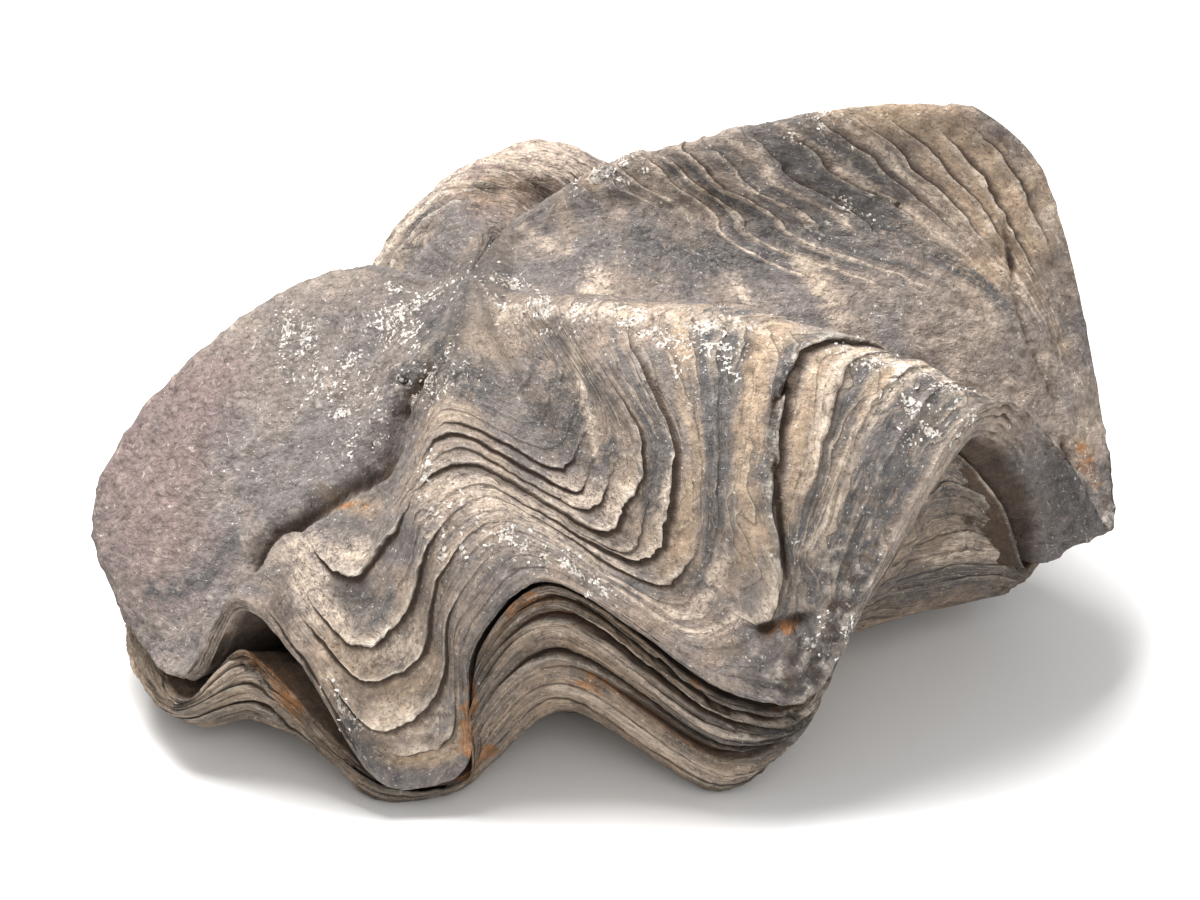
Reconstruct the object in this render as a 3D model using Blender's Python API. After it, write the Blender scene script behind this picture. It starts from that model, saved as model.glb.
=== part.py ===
"""Fossil oyster shell: two thick, deeply folded valves, closed and filled with stone.

The upper valve is a fan of rounded ribs and deep valleys that run from a low apex to a zigzag margin.
The lower valve fits under the same zigzag and shows below it as a recessed, layered wall.
Both are lofts: each ring of a sphere becomes one growth line, and each of its segments one place
on the way round the shell. Between the ribs' own points every place is on a smooth curve.
"""

import math
from collections import namedtuple

import bpy
import bmesh
import numpy as np

MM = 0.001

# Frame: the rib table is centred on the shell's own bounding box by this shift, in millimetres
CENTRE_SHIFT = (-2, 0, 0)

# The two valves meet on straight lines from the margin to this point inside the shell, in millimetres
MEETING_POINT = (0, -8, 45)
MEETING_GAP = 2.0
APEX = (-37, -2, 121)

# Growth ledges of the upper valve: how far along from the apex (0) to the margin (1), and their size
LEDGES = (0.24, 0.33, 0.41, 0.48, 0.55, 0.62, 0.69, 0.76, 0.83, 0.89, 0.94, 0.98)
LEDGE_DROP = 2.2
LEDGE_TUCK = 0.014
LEDGE_WANDER = 0.010
PLAIN_ROWS = (0.0, 0.08, 0.16)

# Layers of the lower valve: how far down its wall from the margin (0) to the foot (1)
LOWER_LAYERS = (0.12, 0.3, 0.5, 0.7, 0.88)
LOWER_LAYER_DROP = 1.5
LOWER_LAYER_TUCK = 0.03

# Flat scar under the lower valve, on which the shell rests: half-sizes and centre, in millimetres
SCAR_RADII = (60, 42)
SCAR_CENTRE = (-5, -4)

# Depth of the meeting surface's middle ring, as a part of the way from the meeting point to the margin
MIDDLE_RING = 0.55

# Hollows in the lower valve just behind its margin, where the folds gape: the middle and half width
# of each, counted in ribs round the shell, and its depth in millimetres
BEHIND_MARGIN_RING = 0.93
GAPE_HOLLOWS = ((2.1, 0.85, 9.0), (11.6, 1.0, 5.0))

# One rib or valley, in millimetres (x to the right, y to the back, z up):
#   columns  faces between this rib and the next one round the shell
#   crown    five places on the upper valve, from the ring round the apex to the free margin
#   lip      inner edge of the upper valve's rim
#   edge     free edge of the lower valve, just under the lip or, at the front left, gaping
#   wall     place halfway down the lower valve's wall
#   foot     place where the lower valve turns in to its underside
#   wear     0 for crisp ledges, 1 for a surface worn smooth
Rib = namedtuple("Rib", "name columns crown lip edge wall foot wear")

RIBS = (
    Rib("left_lobe", 5,
        ((-49, -10, 112), (-73, -22, 94), (-108, -28, 75), (-145, -31, 48), (-135, -50, 31)),
        (-131, -48, 31), (-132, -48, 28), (-136, -49, 20), (-129, -46, 4), 0.9),
    Rib("valley_0", 4,
        ((-47, -18, 112), (-63, -36, 91), (-85, -48, 75), (-100, -67, 54), (-118, -76, 31)),
        (-114, -74, 28), (-117, -79, 24), (-120, -78, 20), (-114, -66, 7), 0.7),
    Rib("ridge_1", 4,
        ((-45, -24, 113), (-59, -45, 84), (-82, -62, 69), (-92, -76, 66), (-99, -86, 61)),
        (-98, -84, 57), (-100, -83, 43), (-97, -82, 31), (-98, -72, 13), 0.3),
    Rib("wall_1", 4,
        ((-43, -26, 113), (-60, -49, 81), (-76, -71, 66), (-80, -85, 51), (-83, -93, 47)),
        (-81, -91, 45), (-90, -86, 39), (-86, -86, 24), (-82, -78, 8), 0.2),
    Rib("valley_1", 5,
        ((-42, -28, 113), (-59, -53, 79), (-68, -76, 64), (-64, -92, 36), (-59, -102, 11)),
        (-59, -99, 10), (-59, -98, 8), (-59, -102, 9), (-62, -94, 0), 0.0),
    Rib("side_1", 4,
        ((-41, -29, 113), (-55, -54, 84), (-57, -77, 78), (-49, -93, 47), (-38, -101, 15)),
        (-38, -98, 14), (-36, -97, 12), (-37, -98, 10), (-40, -89, 0), 0.0),
    Rib("wall_12", 4,
        ((-40, -30, 114), (-51, -55, 91), (-50, -75, 91), (-43, -91, 72), (-36, -98, 51)),
        (-35, -95, 50), (-30, -94, 49), (-32, -97, 27), (-30, -90, 9), 0.0),
    Rib("ridge_2", 6,
        ((-38, -30, 114), (-43, -52, 104), (-38, -68, 96), (-27, -82, 84), (-16, -94, 72)),
        (-16, -91, 70), (-15, -87, 64), (-14, -92, 48), (-11, -80, 21), 0.1),
    Rib("valley_2", 4,
        ((-33, -28, 114), (-15, -54, 94), (0, -72, 78), (25, -90, 57), (36, -102, 42)),
        (36, -98, 39), (35, -94, 34), (36, -99, 20), (34, -89, 0), 0.0),
    Rib("side_2", 4,
        ((-31, -28, 115), (-11, -52, 101), (5, -69, 86), (35, -87, 66), (56, -98, 36)),
        (56, -93, 34), (54, -87, 28), (55, -90, 21), (49, -82, 10), 0.0),
    Rib("wall_23", 5,
        ((-30, -26, 116), (-8, -48, 109), (9, -64, 99), (37, -78, 94), (73, -88, 65)),
        (77, -78, 61), (74, -73, 59), (71, -66, 45), (72, -48, 28), 0.0),
    Rib("ridge_3", 5,
        ((-28, -18, 118), (-20, -24, 122), (-10, -30, 124), (44, -46, 126), (105, -64, 110)),
        (104, -54, 95), (95, -50, 88), (100, -34, 45), (96, -24, 21), 0.1),
    Rib("leg_3", 4,
        ((-27, -12, 118), (-10, -17, 121), (10, -20, 121), (78, -28, 107), (129, -44, 86)),
        (123, -38, 70), (114, -37, 66), (120, -22, 38), (115, -8, 16), 0.0),
    Rib("valley_3", 4,
        ((-26, -6, 118), (0, -8, 116), (29, -6, 110), (105, -6, 75), (150, -19, 46)),
        (131, -18, 35), (127, -18, 32), (129, -8, 24), (124, 4, 13), 0.0),
    Rib("wall_34_low", 4,
        ((-25, 4, 121), (3, 8, 123), (45, 12, 110), (118, 16, 97), (148, 16, 73)),
        (142, 18, 68), (138, 18, 66), (138, 20, 42), (118, 30, 12), 0.1),
    Rib("wall_34", 4,
        ((-25, 12, 124), (3, 20, 130), (40, 26, 123), (100, 32, 120), (135, 36, 123)),
        (133, 41, 119), (129, 39, 115), (131, 40, 70), (116, 44, 14), 0.2),
    Rib("shoulder_4", 3,
        ((-25, 15, 126), (2, 24, 136), (35, 31, 136), (87, 38, 139), (126, 42, 140)),
        (124, 46, 136), (120, 45, 132), (122, 48, 80), (112, 52, 18), 0.2),
    Rib("ridge_4", 4,
        ((-26, 18, 127), (0, 28, 140), (29, 36, 145), (70, 42, 153), (107, 46, 152)),
        (107, 46, 147), (105, 45, 142), (112, 58, 88), (108, 58, 20), 0.3),
    Rib("wall_4b", 4,
        ((-22, 28, 123), (8, 48, 130), (40, 64, 124), (84, 80, 105), (112, 88, 78)),
        (111, 83, 76), (108, 79, 74), (108, 86, 45), (100, 78, 14), 0.3),
    Rib("valley_4", 5,
        ((-28, 26, 118), (-2, 50, 106), (22, 70, 86), (52, 88, 62), (78, 98, 42)),
        (78, 94, 40), (76, 90, 38), (78, 98, 20), (70, 88, 0), 0.2),
    Rib("shoulder_45", 3,
        ((-32, 20, 121), (-29, 44, 122), (-12, 60, 123), (5, 78, 118), (24, 101, 64)),
        (24, 97, 62), (23, 94, 59), (24, 99, 38), (22, 88, 12), 0.3),
    Rib("ridge_5", 4,
        ((-35, 14, 123), (-44, 38, 126), (-33, 60, 128), (-18, 80, 126), (-6, 104, 76)),
        (-6, 99, 74), (-6, 96, 71), (-4, 100, 44), (-4, 88, 16), 0.3),
    Rib("shoulder_5", 3,
        ((-42, 13, 119), (-54, 38, 118), (-52, 60, 115), (-50, 76, 108), (-52, 98, 62)),
        (-51, 94, 60), (-50, 91, 57), (-52, 94, 34), (-48, 84, 10), 0.3),
    Rib("valley_5", 4,
        ((-48, 12, 112), (-66, 34, 103), (-80, 54, 82), (-90, 70, 58), (-94, 80, 36)),
        (-92, 77, 34), (-89, 74, 32), (-94, 80, 18), (-86, 72, 0), 0.3),
    Rib("ridge_6", 4,
        ((-50, 6, 114), (-70, 24, 111), (-84, 36, 99), (-98, 46, 88), (-118, 60, 46)),
        (-115, 58, 44), (-112, 56, 42), (-116, 58, 28), (-106, 52, 12), 0.5),
    Rib("valley_6", 4,
        ((-51, 2, 113), (-76, 18, 107), (-104, 26, 88), (-126, 28, 62), (-132, 24, 30)),
        (-128, 23, 29), (-127, 23, 27), (-134, 24, 14), (-122, 22, 4), 0.7),
    Rib("lobe_top", 5,
        ((-50, -4, 114), (-74, 12, 115), (-111, 8, 96), (-146, -10, 58), (-143, -18, 32)),
        (-139, -18, 32), (-138, -18, 30), (-138, -20, 16), (-126, -14, 7), 0.9),
)


def clear_scene():
    """Removes what the scene holds at the start."""
    for thing in list(bpy.data.objects):
        bpy.data.objects.remove(thing, do_unlink=True)


def between(before, start, end, after, part):
    """A smooth curve from start to end that also leads on from before and towards after."""
    def root_length(step):
        return np.sqrt(np.linalg.norm(step, axis=-1, keepdims=True)) + 1e-6

    length_in = root_length(start - before)
    length = root_length(end - start)
    length_out = root_length(after - end)
    lead_in = ((start - before) / length_in - (end - before) / (length_in + length)
               + (end - start) / length) * length
    lead_out = ((end - start) / length - (after - start) / (length + length_out)
                + (after - end) / length_out) * length
    return (start * (2 * part**3 - 3 * part**2 + 1) + lead_in * (part**3 - 2 * part**2 + part)
            + end * (3 * part**2 - 2 * part**3) + lead_out * (part**3 - part**2))


def along(places, way):
    """Follows open rows of places, one row for each entry of way, at the part of the way given."""
    first = 2 * places[:, :1] - places[:, 1:2]
    last = 2 * places[:, -1:] - places[:, -2:-1]
    padded = np.concatenate([first, places, last], axis=1)
    spans = places.shape[1] - 1
    span = np.clip(np.floor(way * spans), 0, spans - 1).astype(int)
    part = (way * spans - span)[:, None]
    row = np.arange(len(way))
    return between(*(padded[row, span + step] for step in range(4)), part)


def around(rib_rows, way, position):
    """The place on a ribbed surface at part way of each rib, at position counted in ribs round it."""
    rib = np.floor(position).astype(int)
    part = (position - rib)[:, None]
    nearby = [along(rib_rows[(rib + step) % len(RIBS)], way) for step in (-1, 0, 1, 2)]
    return between(*nearby, part)


def rib_value(values, position):
    """A plain number given for each rib, blended evenly at position."""
    rib = np.floor(position).astype(int)
    part = position - rib
    ease = part * part * (3 - 2 * part)
    values = np.array(values, dtype=float)
    return values[rib % len(RIBS)] * (1 - ease) + values[(rib + 1) % len(RIBS)] * ease


MEETING = np.array(MEETING_POINT, dtype=float)
CROWN_ROWS = np.array([rib.crown for rib in RIBS], dtype=float)
POSITIONS = np.concatenate([np.arange(rib.columns) / rib.columns + number for number, rib in enumerate(RIBS)])
CREST_WEAR = rib_value([rib.wear for rib in RIBS], POSITIONS)


def outward(rib_rows, way, position):
    """The unit normal of a ribbed surface, pointing out of the shell."""
    step = 0.004
    run = (around(rib_rows, np.minimum(way + step, 1), position)
           - around(rib_rows, np.maximum(way - step, 0), position))
    side = around(rib_rows, way, position + step) - around(rib_rows, way, position - step)
    normal = np.cross(run, side)
    return normal / np.linalg.norm(normal, axis=1, keepdims=True)


def ring_through(places):
    """A smooth closed ring through one place for each rib."""
    pairs = np.stack([places, places], axis=1).astype(float)
    return around(pairs, np.zeros_like(POSITIONS), POSITIONS)


def wandering(way, number):
    """A growth line's own small wander, in phase with nothing else."""
    return way + LEDGE_WANDER * np.sin(POSITIONS * (1.9 + 0.13 * number) + 2.4 * number)


def crown_row(way, lift):
    """One growth line of the upper valve, raised by lift where it isn't worn."""
    normal = outward(CROWN_ROWS, way, POSITIONS)
    height = lift * (1 - CREST_WEAR)
    return around(CROWN_ROWS, way, POSITIONS) + normal * height[:, None]


def upper_rings():
    """The upper valve's growth lines from the apex out, then its rim and its underside."""
    rings = [crown_row(np.full_like(POSITIONS, way), 0) for way in PLAIN_ROWS]
    for number, way in enumerate(LEDGES):
        edge = wandering(way, number)
        rings.append(crown_row(edge, LEDGE_DROP))
        rings.append(crown_row(edge + LEDGE_TUCK if way < LEDGES[-1] else np.ones_like(edge), 0))
    lip = ring_through([rib.lip for rib in RIBS])
    rings.append(lip)
    rings.append(MEETING + (lip - MEETING) * MIDDLE_RING)
    return rings


def lower_rings():
    """The lower valve's meeting surface, then its layered wall, its foot and its flat scar."""
    margin = ring_through([rib.edge for rib in RIBS])
    low_meeting = MEETING - (0, 0, MEETING_GAP)
    hollow = sum(depth * np.exp(-((POSITIONS - middle) / half) ** 4) for middle, half, depth in GAPE_HOLLOWS)
    rings = []
    for part in (MIDDLE_RING, BEHIND_MARGIN_RING):
        ring = low_meeting + (margin - low_meeting) * part
        ring[:, 2] -= hollow * part
        rings.append(ring)
    rings.append(margin)
    wall = ring_through([rib.wall for rib in RIBS])
    foot = ring_through([rib.foot for rib in RIBS])
    slopes = np.stack([margin, wall, foot], axis=1)
    for way in LOWER_LAYERS:
        for step, drop in ((0, LOWER_LAYER_DROP), (LOWER_LAYER_TUCK, 0)):
            row = along(slopes, np.full_like(POSITIONS, way + step))
            away = (row - MEETING) * (1, 1, 0)
            away /= np.linalg.norm(away, axis=1, keepdims=True)
            rings.append(row + away * drop)
    rings.append(foot)
    turn = np.arctan2(foot[:, 1] - SCAR_CENTRE[1], foot[:, 0] - SCAR_CENTRE[0])
    rings.append(np.stack([SCAR_CENTRE[0] + SCAR_RADII[0] * np.cos(turn),
                           SCAR_CENTRE[1] + SCAR_RADII[1] * np.sin(turn),
                           np.zeros_like(turn)], axis=1))
    return [np.maximum(ring, (-np.inf, -np.inf, 0)) for ring in rings]


def loft(name, top, rings, bottom, material, collection):
    """A closed solid: a sphere whose rings take the places given and whose poles are top and bottom."""
    segments = len(rings[0])
    bands = len(rings) + 1
    mesh = bpy.data.meshes.new(name)
    shape = bmesh.new()
    bmesh.ops.create_uvsphere(shape, u_segments=segments, v_segments=bands, radius=1)
    for vertex in shape.verts:
        ring = round(math.acos(max(-1, min(1, vertex.co.z))) / math.pi * bands)
        segment = round(math.atan2(vertex.co.y, vertex.co.x) / math.tau * segments) % segments
        if ring == 0:
            place = np.array(top, dtype=float)
        elif ring == bands:
            place = np.array(bottom, dtype=float)
        else:
            place = rings[ring - 1][segment]
        vertex.co = (place + CENTRE_SHIFT) * MM
    shape.to_mesh(mesh)
    shape.free()
    mesh.materials.append(material)
    solid = bpy.data.objects.new(name, mesh)
    collection.objects.link(solid)
    return solid


def stone(name, colour, roughness):
    """A plain stone finish."""
    material = bpy.data.materials.new(name)
    material.use_nodes = True
    surface = material.node_tree.nodes["Principled BSDF"]
    surface.inputs["Base Color"].default_value = (*colour, 1)
    surface.inputs["Roughness"].default_value = roughness
    surface.inputs["Metallic"].default_value = 0
    return material


def build():
    clear_scene()
    collection = bpy.data.collections.new("fossil_oyster_shell")
    bpy.context.scene.collection.children.link(collection)
    loft("upper_valve", APEX, upper_rings(), MEETING,
         stone("upper_valve_stone", (0.36, 0.32, 0.27), 0.85), collection)
    loft("lower_valve", MEETING - (0, 0, MEETING_GAP), lower_rings(), (*SCAR_CENTRE, 0),
         stone("lower_valve_stone", (0.27, 0.22, 0.16), 0.9), collection)


build()
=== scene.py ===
"""Fossil oyster shell: two thick, deeply folded valves, closed and turned to stone.

The upper valve is one lofted skin of growth ledges over rounded ribs and deep valleys. The lower
valve shows under its zigzag margin as a recessed wall of thin layers. White crystal grains sit on
the worn crests. All places are in millimetres in the shell's own frame until a mesh is made.
"""

import math
from collections import namedtuple

import bpy
import numpy as np
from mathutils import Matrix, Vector, noise


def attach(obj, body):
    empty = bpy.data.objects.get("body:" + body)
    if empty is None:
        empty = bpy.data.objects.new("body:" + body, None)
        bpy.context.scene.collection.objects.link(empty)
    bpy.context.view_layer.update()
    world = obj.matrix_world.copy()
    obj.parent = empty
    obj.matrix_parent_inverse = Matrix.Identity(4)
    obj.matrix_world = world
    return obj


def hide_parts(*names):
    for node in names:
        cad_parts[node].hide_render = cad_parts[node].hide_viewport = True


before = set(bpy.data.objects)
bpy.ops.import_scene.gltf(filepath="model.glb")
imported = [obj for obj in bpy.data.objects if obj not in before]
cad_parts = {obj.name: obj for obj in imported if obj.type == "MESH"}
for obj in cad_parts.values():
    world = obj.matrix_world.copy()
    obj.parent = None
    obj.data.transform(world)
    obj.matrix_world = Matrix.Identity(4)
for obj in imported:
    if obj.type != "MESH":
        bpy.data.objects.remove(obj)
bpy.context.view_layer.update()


# The upper valve is a thick calcite shell that grew outwards from a low beak at the left of its top.
# Each growth step left a thin sheet over the last one, so it is one skin of overlapping ledges that
# follow every rib and valley to the zigzag margin. It lies on the lower valve by its own weight.

# The valves meet round MEETING_PLACE, APEX is the pole of the upper one, and CENTRE_SHIFT puts the
# middle of the finished shell over the origin.
MM = 0.001
CENTRE_SHIFT = (-2, 0, 0)
MEETING_PLACE = (0, -8, 45)
APEX = (-37, -2, 121)

# Ribs and valleys, anticlockwise from above. Each has five places on its crown, from the ring round
# the apex to the free margin, the inner edge of its rim, its wear (0 crisp, 1 worn smooth), and how
# strongly fine layers show on it.
Rib = namedtuple("Rib", "name crown lip wear lined")
RIBS = [Rib(*row) for row in (
    ("left_lobe", ((-49, -10, 112), (-73, -22, 94), (-108, -28, 75), (-145, -31, 48), (-135, -50, 31)),
     (-131, -48, 31), 1, 0.2),
    ("valley_0", ((-47, -18, 112), (-63, -36, 91), (-85, -48, 75), (-100, -67, 54), (-118, -76, 31)),
     (-114, -74, 28), 1, 0.2),
    ("ridge_1", ((-45, -24, 113), (-59, -45, 84), (-82, -62, 69), (-92, -76, 66), (-99, -86, 61)),
     (-98, -84, 57), 0.35, 0.25),
    ("wall_1", ((-43, -26, 113), (-60, -49, 81), (-76, -71, 66), (-80, -85, 51), (-83, -93, 47)),
     (-81, -91, 45), 0.2, 0.25),
    ("valley_1", ((-42, -28, 113), (-59, -53, 79), (-68, -76, 64), (-64, -92, 36), (-59, -102, 11)),
     (-59, -99, 10), 0, 0.18),
    ("side_1", ((-41, -29, 113), (-55, -54, 84), (-57, -77, 78), (-49, -93, 47), (-38, -101, 15)),
     (-38, -98, 14), 0, 0.3),
    ("wall_12", ((-40, -30, 114), (-51, -55, 91), (-50, -75, 91), (-43, -91, 72), (-36, -98, 51)),
     (-35, -95, 50), 0, 0.7),
    ("ridge_2", ((-38, -30, 114), (-43, -52, 104), (-38, -68, 96), (-27, -82, 84), (-16, -94, 72)),
     (-16, -91, 70), 0.1, 0.35),
    ("valley_2", ((-33, -28, 114), (-15, -54, 94), (0, -72, 78), (25, -90, 57), (36, -102, 42)),
     (36, -98, 39), 0, 0.25),
    ("side_2", ((-31, -28, 115), (-11, -52, 101), (5, -69, 86), (35, -87, 66), (56, -98, 36)),
     (56, -93, 34), 0, 0.35),
    ("wall_23", ((-30, -26, 116), (-8, -48, 109), (9, -64, 99), (37, -78, 94), (73, -88, 65)),
     (77, -78, 61), 0, 0.7),
    ("ridge_3", ((-28, -18, 118), (-20, -24, 122), (-10, -30, 124), (44, -46, 126), (105, -64, 110)),
     (104, -54, 95), 0.1, 0.65),
    ("leg_3", ((-27, -12, 118), (-10, -17, 121), (10, -20, 121), (78, -28, 107), (129, -44, 86)),
     (123, -38, 70), 0.3, 0.4),
    ("valley_3", ((-26, -6, 118), (0, -8, 116), (29, -6, 110), (105, -6, 75), (150, -19, 46)),
     (131, -18, 35), 0.5, 0.2),
    ("wall_34_low", ((-25, 4, 121), (3, 8, 123), (45, 12, 110), (118, 16, 97), (148, 16, 73)),
     (142, 18, 68), 0.7, 0.25),
    ("wall_34", ((-25, 12, 124), (3, 20, 130), (40, 26, 123), (100, 32, 120), (135, 36, 123)),
     (133, 41, 119), 0.4, 0.35),
    ("shoulder_4", ((-25, 15, 126), (2, 24, 136), (35, 31, 136), (87, 38, 139), (126, 42, 140)),
     (124, 46, 136), 0.4, 0.5),
    ("ridge_4", ((-26, 18, 127), (0, 28, 140), (29, 36, 145), (70, 42, 153), (107, 46, 152)),
     (107, 46, 147), 0.55, 0.55),
    ("wall_4b", ((-22, 28, 123), (8, 48, 130), (40, 64, 124), (84, 80, 105), (112, 88, 78)),
     (111, 83, 76), 0.3, 0.9),
    ("valley_4", ((-28, 26, 118), (-2, 50, 106), (22, 70, 86), (52, 88, 62), (78, 98, 42)),
     (78, 94, 40), 0.2, 1),
    ("shoulder_45", ((-32, 20, 121), (-29, 44, 122), (-12, 60, 123), (5, 78, 118), (24, 101, 64)),
     (24, 97, 62), 0.3, 1),
    ("ridge_5", ((-35, 14, 123), (-44, 38, 126), (-33, 60, 128), (-18, 80, 126), (-6, 104, 76)),
     (-6, 99, 74), 0.5, 0.9),
    ("shoulder_5", ((-42, 13, 119), (-54, 38, 118), (-52, 60, 115), (-50, 76, 108), (-52, 98, 62)),
     (-51, 94, 60), 0.3, 1),
    ("valley_5", ((-48, 12, 112), (-66, 34, 103), (-80, 54, 82), (-90, 70, 58), (-94, 80, 36)),
     (-92, 77, 34), 0.3, 0.9),
    ("ridge_6", ((-50, 6, 114), (-70, 24, 111), (-84, 36, 99), (-98, 46, 88), (-118, 60, 46)),
     (-115, 58, 44), 0.6, 0.6),
    ("valley_6", ((-51, 2, 113), (-76, 18, 107), (-104, 26, 88), (-126, 28, 62), (-132, 24, 30)),
     (-128, 23, 29), 0.8, 0.4),
    ("lobe_top", ((-50, -4, 114), (-74, 12, 115), (-111, 8, 96), (-146, -10, 58), (-143, -18, 32)),
     (-139, -18, 32), 1, 0.2),
)]
RIB_COUNT = len(RIBS)

UPPER_COLUMNS = 725
SEEN_RIBS = 15.5
UNSEEN_DENSITY = 0.45

# Growth ledges: where each ends, from apex to margin, and where it stands out boldly. A bold stretch
# has its middle and half width, counted in ribs round the shell, its strength, and how far it strays.
UPPER_LEDGES = (
    (0.14, ()),
    (0.21, ((22, 1.3, 1.2, 0),)),
    (0.28, ((21.8, 1.3, 1.3, 0.01),)),
    (0.34, ((7.8, 0.9, 0.35, 0), (16.3, 0.8, 0.45, 0), (21.6, 1.4, 1.2, -0.01))),
    (0.4, ((7.3, 1, 0.45, 0), (21.4, 1.5, 1.3, 0), (16.2, 1, 0.5, 0))),
    (0.46, ((16.1, 1.2, 0.65, 0), (7.9, 1.1, 0.3, 0.01), (21, 1.6, 1.3, 0.01))),
    (0.515, ((4, 1.3, 0.9, 0), (8.3, 2, 0.85, 0.015), (16, 1.1, 0.55, 0))),
    (0.565, ((16, 1.2, 0.6, 0), (8.2, 0.9, 0.2, 0.01), (20.8, 1.5, 1, 0))),
    (0.605, ((8.9, 1.7, 0.7, 0), (16, 1.2, 0.4, 0))),
    (0.66, ((4.6, 1.5, 1, -0.005), (8.1, 0.9, 0.35, 0), (16, 1.2, 0.5, 0))),
    (0.71, ((16, 1.1, 0.5, 0),)),
    (0.75, ((4.5, 1.5, 0.95, -0.01), (15.8, 1.2, 0.5, 0.02))),
    (0.8, ((10.5, 0.9, 0.6, 0.005), (11.4, 0.5, 0.3, 0.03), (9.4, 0.5, 0.6, 0.06), (15.6, 1.1, 0.5, 0.01))),
    (0.85, ((4.7, 1.2, 0.85, -0.005), (10.9, 0.9, 0.1, 0.01), (15.5, 1.2, 0.6, 0))),
    (0.9, ((4.7, 0.6, 0.5, 0.02), (10.9, 1, 0.05, 0.005), (15.3, 1, 0.7, -0.01))),
    (0.95, ((3, 0.6, 0.5, 0), (10.9, 0.9, 0.1, 0), (15.6, 1, 0.5, 0))),
    (1, ()),
)
UPPER_LEDGE_ROWS = (0.05, 0.22, 0.4, 0.58, 0.76, 0.93, 1.0)
UPPER_LEDGE_HEIGHT = 2.6
UPPER_LEDGE_UNDERCUT = 0.01
UPPER_LEDGE_SLIT = 1.2
PLAIN_LEDGE = (0.14, 0.32)
LEDGE_SLOPE = 0.0012
LEAST_LEDGE = 0.016
CREST_LAG = {"leg_3": 0.02, "valley_3": 0.08, "wall_34_low": 0.12, "shoulder_4": -0.08, "ridge_4": -0.11,
             "wall_4b": -0.06}

# Stretches of ribs, each a middle and a half width: the valley with no plain ledges, and the broken
# end of the third fold. Beside the first valley the inside is sunk by some millimetres as well.
CALM_VALLEY = (13.5, 1.0)
CALM = 0.25
BROKEN_LEG = (12.6, 1.3)
THIN_WALL = (3.2, 0.9)
THIN_WALL_DEPTH = 4.0
RIM_ROWS = 9
UNDERSIDE_ROWS = (0.012, 0.03, 0.055, 0.09, 0.13, 0.18, 0.26, 0.4, 0.65)


def between(before, start, end, after, part):
    """A smooth curve from start to end that also leads on from before and towards after."""
    def root_length(step):
        return np.sqrt(np.linalg.norm(step, axis=-1, keepdims=True)) + 1e-6

    length_in = root_length(start - before)
    length = root_length(end - start)
    length_out = root_length(after - end)
    lead_in = ((start - before) / length_in - (end - before) / (length_in + length)
               + (end - start) / length) * length
    lead_out = ((end - start) / length - (after - start) / (length + length_out)
                + (after - end) / length_out) * length
    return (start * (2 * part**3 - 3 * part**2 + 1) + lead_in * (part**3 - 2 * part**2 + part)
            + end * (3 * part**2 - 2 * part**3) + lead_out * (part**3 - part**2))


def along(rows, way):
    """Follows open rows of places, one row for each entry of way, at the part of the way given."""
    first = 2 * rows[:, :1] - rows[:, 1:2]
    last = 2 * rows[:, -1:] - rows[:, -2:-1]
    padded = np.concatenate([first, rows, last], axis=1)
    spans = rows.shape[1] - 1
    span = np.clip(np.floor(way * spans), 0, spans - 1).astype(int)
    part = (way * spans - span)[:, None]
    entry = np.arange(len(way))
    return between(*(padded[entry, span + step] for step in range(4)), part)


def surface(rib_rows, way, place_round):
    """Places on a ribbed surface: way goes from its inner to its outer edge, place_round counts ribs."""
    way, place_round = np.broadcast_arrays(way, place_round)
    flat_way = way.ravel()
    rib = np.floor(place_round).astype(int).ravel()
    part = (place_round.ravel() - rib)[:, None]
    nearby = [along(rib_rows[(rib + step) % RIB_COUNT], flat_way) for step in (-1, 0, 1, 2)]
    return between(*nearby, part).reshape(*way.shape, 3)


def ring(places, place_round):
    """A smooth closed ring through one place for each rib."""
    pairs = np.stack([places, places], axis=1).astype(float)
    return surface(pairs, np.zeros_like(place_round), place_round)


def eased(part):
    """Turns an even change from 0 to 1 into one with a soft start and end."""
    return part * part * (3 - 2 * part)


def stretch(place_round, middle, half, power=4):
    """How far places lie in a stretch of ribs: 1 in its middle, and near 0 past its half width."""
    return np.exp(-((place_round - middle) / half) ** power)


def rib_value(values, place_round):
    """A plain number given for each rib, blended evenly at place_round."""
    rib = np.floor(place_round).astype(int)
    ease = eased(place_round - rib)
    values = np.array(values, dtype=float)
    return values[rib % RIB_COUNT] * (1 - ease) + values[(rib + 1) % RIB_COUNT] * ease


def even_columns(rib_rows, count):
    """Places round a ribbed surface, evenly spaced along it, and closer together where it is seen."""
    fine = np.linspace(0, RIB_COUNT, 60 * RIB_COUNT + 1)
    line = surface(rib_rows, np.full_like(fine, 0.8), fine)
    step = np.linalg.norm(np.diff(line, axis=0), axis=1)
    step = step * np.where(fine[:-1] < SEEN_RIBS, 1, UNSEEN_DENSITY)
    run = np.concatenate([[0], np.cumsum(step)])
    return np.interp(np.arange(count) / count * run[-1], run, fine)


def rough(places, size, seed, octaves=4):
    """Random numbers from about -1 to 1 that vary smoothly over size, the same in each run."""
    shift = Vector((seed * 7.31, seed * 3.17, seed * 5.53))
    flat = (np.asarray(places, dtype=float) / size).reshape(-1, 3)
    values = [noise.fractal(Vector(place) + shift, 1.0, 2.1, octaves) for place in flat]
    return np.array(values).reshape(places.shape[:-1])


def rough_round(place_round, rate, seed, octaves=3):
    """Random numbers round the shell that join up where the count of ribs starts again."""
    turn = place_round * math.tau / RIB_COUNT
    radius = rate * RIB_COUNT / math.tau
    height = np.full_like(turn, seed * 1.7)
    places = np.stack([np.cos(turn) * radius, np.sin(turn) * radius, height], axis=-1)
    return rough(places, 1.0, seed, octaves)


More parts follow.
